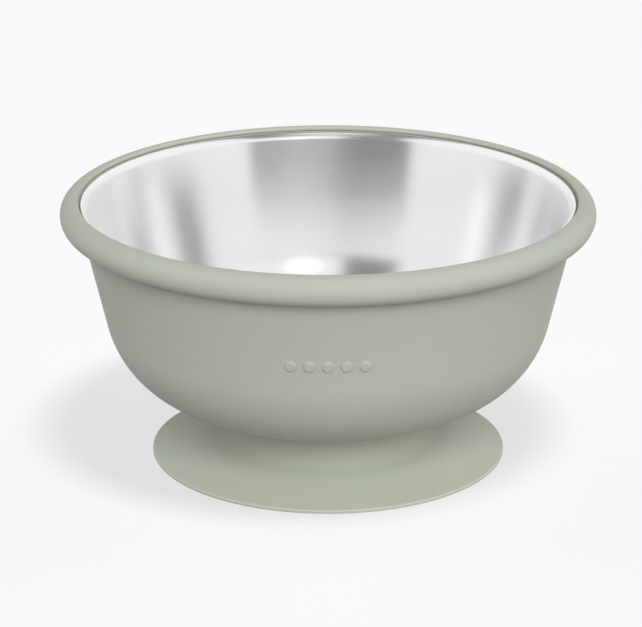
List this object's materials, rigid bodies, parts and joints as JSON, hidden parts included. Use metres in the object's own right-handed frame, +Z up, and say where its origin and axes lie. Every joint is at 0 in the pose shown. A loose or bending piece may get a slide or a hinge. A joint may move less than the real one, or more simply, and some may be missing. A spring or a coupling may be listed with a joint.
{
  "type": "suction bowl",
  "caption": "Stainless steel feeding bowl that lifts out of a soft silicone sleeve with a thick rolled rim, standing on a wide silicone suction cup.",
  "frame": {"origin": "on the table, under the middle of the suction cup", "axes": "+Z up, along the axis that the bowl is round about; -Y towards the eater, where the moulded dots are; +X to the eater's right"},
  "size_m": [0.13, 0.13, 0.0655],
  "materials": {
    "satin_steel": "satin polished",
    "silicone": "matte sage green"
  },
  "bodies": {
    "suction_cup": {"suction_cup": "silicone"},
    "sleeve": {"silicone_sleeve": "silicone"},
    "steel_bowl": {"steel_bowl": "satin_steel"}
  },
  "joints": [
    {"name": "suction_press", "type": "slide", "parent": "suction_cup", "child": "sleeve", "axis": [0, 0, -1], "range_m": [0, 0.0025], "stiffness_N_per_m": 6000, "springref_m": -0.0005, "deforming": ["suction_cup"]},
    {"name": "bowl_lift", "type": "slide", "parent": "sleeve", "child": "steel_bowl", "axis": [0, 0, 1], "range_m": [0, 0.06]}
  ]
}
